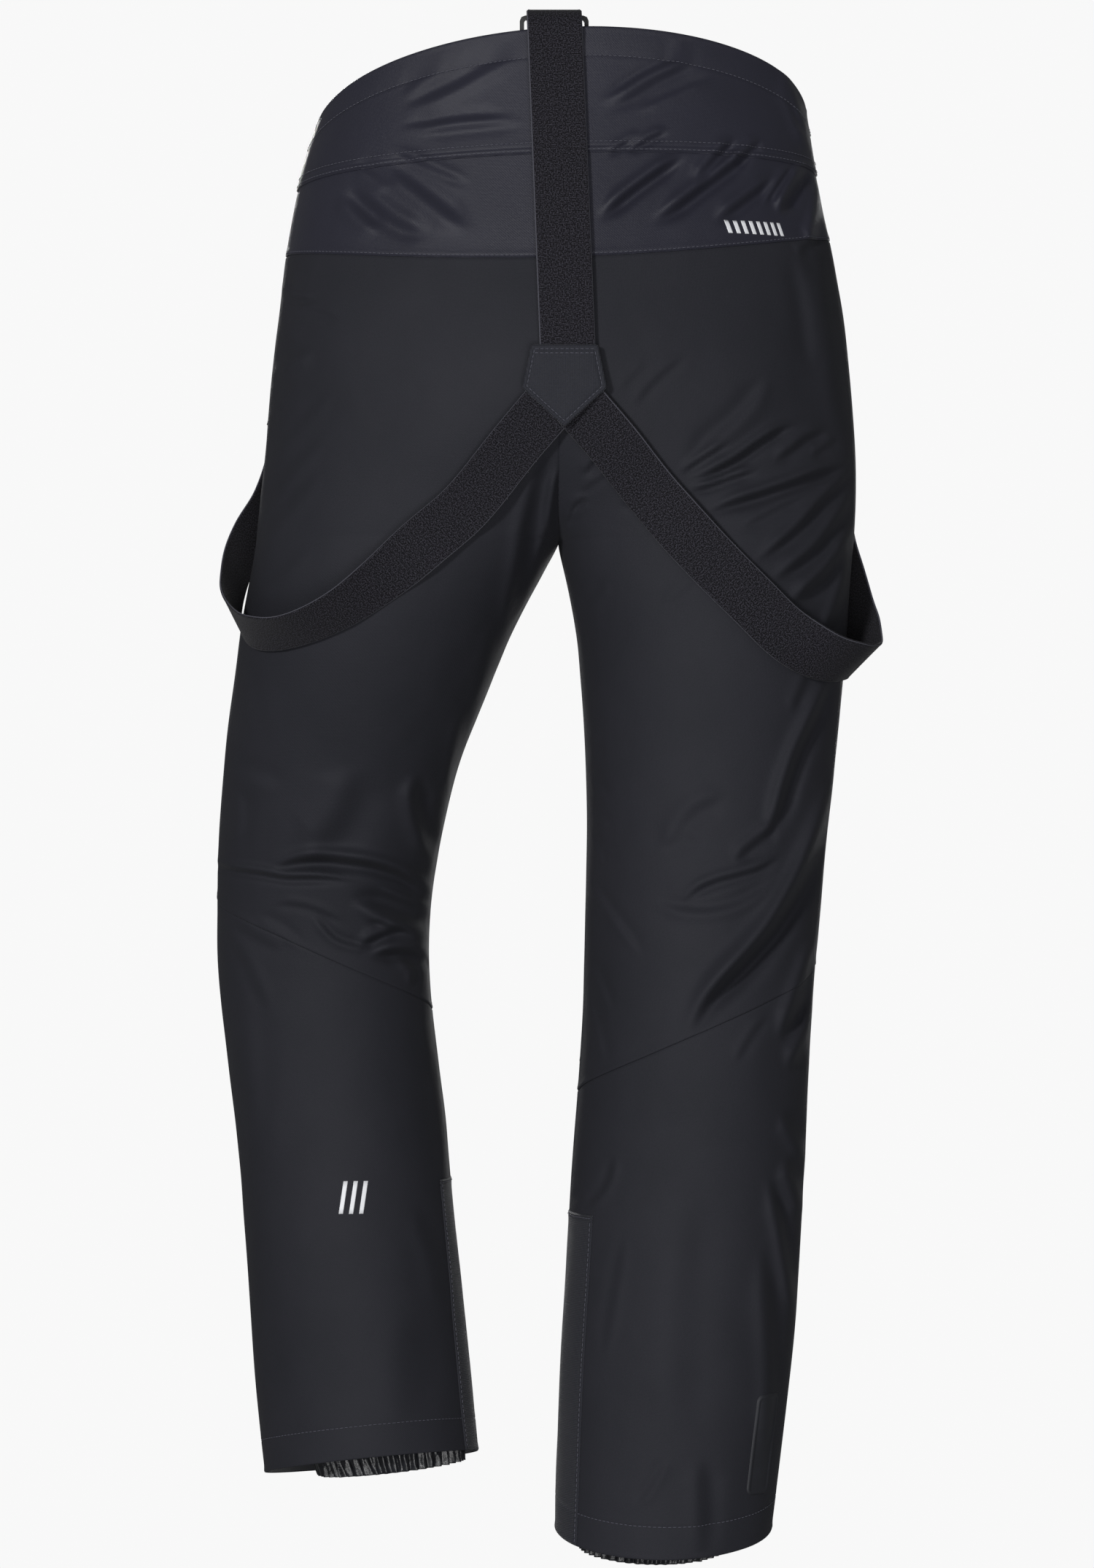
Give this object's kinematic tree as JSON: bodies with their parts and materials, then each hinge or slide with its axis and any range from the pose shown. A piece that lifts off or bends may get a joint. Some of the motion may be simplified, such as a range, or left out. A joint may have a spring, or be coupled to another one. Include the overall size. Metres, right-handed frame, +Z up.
{
  "type": "ski pants",
  "caption": "Padded ski trousers with raised kidney panel, snow gaiters, zipped hand pockets, hinged knees and clip-on elastic suspenders hanging in loops.",
  "frame": {"origin": "middle of the waist, level with the seam under the waistband", "axes": "+Z up, front of the trousers faces -Y, the wearer's left is +X"},
  "size_m": [0.4971, 0.3376, 1.1225],
  "materials": {
    "shell": "matt stretch twill, very fine weave",
    "yoke_shell": "matt stretch twill, a shade bluer and smoother",
    "lining": "brushed tricot",
    "elastic": "speckled knitted elastic webbing",
    "patch": "coarser hard-wearing weave",
    "gaiter": "glossy gathered nylon",
    "plastic": "moulded, satin",
    "metal": "black nickel",
    "reflective": "pale reflective transfer film"
  },
  "bodies": {
    "root": {"back_waistband": "yoke_shell", "front_waistband_left": "yoke_shell", "front_waistband_right": "yoke_shell", "back_yoke": "yoke_shell", "back_waistband_lining": "lining", "fly_guard": "lining", "pocket_bag_left": "lining", "pocket_bag_right": "lining", "seat_panel_left": "shell", "front_panel_left": "shell", "knee_back_left": "shell", "knee_front_left": "shell", "seat_panel_right": "shell", "front_panel_right": "shell", "knee_back_right": "shell", "knee_front_right": "shell", "y_patch": "patch", "back_strap": "elastic", "back_strap_anchor": "elastic", "front_strap_left": "elastic", "front_strap_right": "elastic", "strap_anchor_left": "elastic", "strap_anchor_right": "elastic", "fly_zip_teeth": "plastic", "pocket_zip_left": "plastic", "pocket_zip_right": "plastic", "strap_clip_left": "plastic", "strap_clip_right": "plastic", "snap_stud_upper": "metal", "snap_stud_lower": "metal", "reflective_bar": "reflective"},
    "shin_left": {"calf_panel_left": "shell", "shin_panel_left": "shell", "kick_patch_left": "patch", "snow_gaiter_left": "gaiter", "gaiter_elastic_left": "elastic", "boot_hook_left": "metal", "reflective_mark": "reflective"},
    "shin_right": {"calf_panel_right": "shell", "shin_panel_right": "shell", "kick_patch_right": "patch", "snow_gaiter_right": "gaiter", "gaiter_elastic_right": "elastic", "boot_hook_right": "metal", "reflector_patch": "plastic"},
    "fly_slider": {"fly_zip_slider": "metal"},
    "fly_pull": {"fly_zip_pull": "plastic"},
    "pocket_slider_left": {"pocket_slider_left": "metal"},
    "pocket_pull_left": {"pocket_pull_left": "plastic"},
    "pocket_slider_right": {"pocket_slider_right": "metal"},
    "pocket_pull_right": {"pocket_pull_right": "plastic"},
    "waist_tab": {"waist_tab": "yoke_shell", "snap_cap_upper": "metal", "snap_cap_lower": "metal"},
    "adjuster_left": {"strap_adjuster_left": "plastic"},
    "adjuster_right": {"strap_adjuster_right": "plastic"},
    "clip_gate_left": {"clip_gate_left": "metal"},
    "clip_gate_right": {"clip_gate_right": "metal"},
    "back_ring": {"back_strap_ring": "plastic"}
  },
  "joints": [
    {"name": "knee_left", "type": "hinge", "parent": "root", "child": "shin_left", "pos_m": [0.177, -0.101, -0.545], "axis": [1, 0, 0], "range_deg": [-10, 45], "deforming": ["knee_back_left", "knee_front_left"]},
    {"name": "knee_right", "type": "hinge", "parent": "root", "child": "shin_right", "pos_m": [-0.106, 0.024, -0.56], "axis": [1, 0, 0], "range_deg": [0, 55], "deforming": ["knee_back_right", "knee_front_right"]},
    {"name": "fly_zip", "type": "slide", "parent": "root", "child": "fly_slider", "axis": [0, -0.0571, -0.9984], "range_m": [0, 0.112]},
    {"name": "fly_zip_pull_swing", "type": "hinge", "parent": "fly_slider", "child": "fly_pull", "pos_m": [0, -0.10774, -0.02275], "axis": [-1, 0, 0], "range_deg": [0, 100]},
    {"name": "pocket_zip_left", "type": "slide", "parent": "root", "child": "pocket_slider_left", "axis": [0.2469, 0.161, -0.9556], "range_m": [0, 0.13]},
    {"name": "pocket_pull_left_swing", "type": "hinge", "parent": "pocket_slider_left", "child": "pocket_pull_left", "pos_m": [0.17958, -0.05274, -0.02947], "axis": [-0.5492, -0.7892, -0.2749], "range_deg": [0, 100]},
    {"name": "pocket_zip_right", "type": "slide", "parent": "root", "child": "pocket_slider_right", "axis": [-0.2509, 0.1609, -0.9546], "range_m": [0, 0.13]},
    {"name": "pocket_pull_right_swing", "type": "hinge", "parent": "pocket_slider_right", "child": "pocket_pull_right", "pos_m": [-0.17893, -0.05275, -0.02946], "axis": [-0.5487, 0.7888, 0.2771], "range_deg": [0, 100]},
    {"name": "waist_tab_open", "type": "hinge", "parent": "root", "child": "waist_tab", "pos_m": [0.026, -0.1022, 0.014], "axis": [0, 0, 1], "range_deg": [0, 120]},
    {"name": "adjuster_left_slide", "type": "slide", "parent": "root", "child": "adjuster_left", "axis": [-0.4006, -0.133, 0.9065], "range_m": [-0.035, 0.04]},
    {"name": "adjuster_right_slide", "type": "slide", "parent": "root", "child": "adjuster_right", "axis": [0.405, -0.1326, 0.9047], "range_m": [-0.035, 0.04]},
    {"name": "clip_gate_left_open", "type": "hinge", "parent": "root", "child": "clip_gate_left", "pos_m": [0.11687, -0.09281, -0.01702], "axis": [-0.4774, 0.8748, -0.0827], "range_deg": [0, 30], "stiffness_Nm_per_rad": 0.01},
    {"name": "clip_gate_right_open", "type": "hinge", "parent": "root", "child": "clip_gate_right", "pos_m": [-0.12962, -0.08479, -0.00986], "axis": [0.4764, 0.8751, -0.085], "range_deg": [0, 30], "stiffness_Nm_per_rad": 0.01},
    {"name": "back_ring_rock", "type": "hinge", "parent": "root", "child": "back_ring", "pos_m": [0.0034, 0.0836, 0.0817], "axis": [1, 0, 0], "range_deg": [-4, 4]}
  ]
}
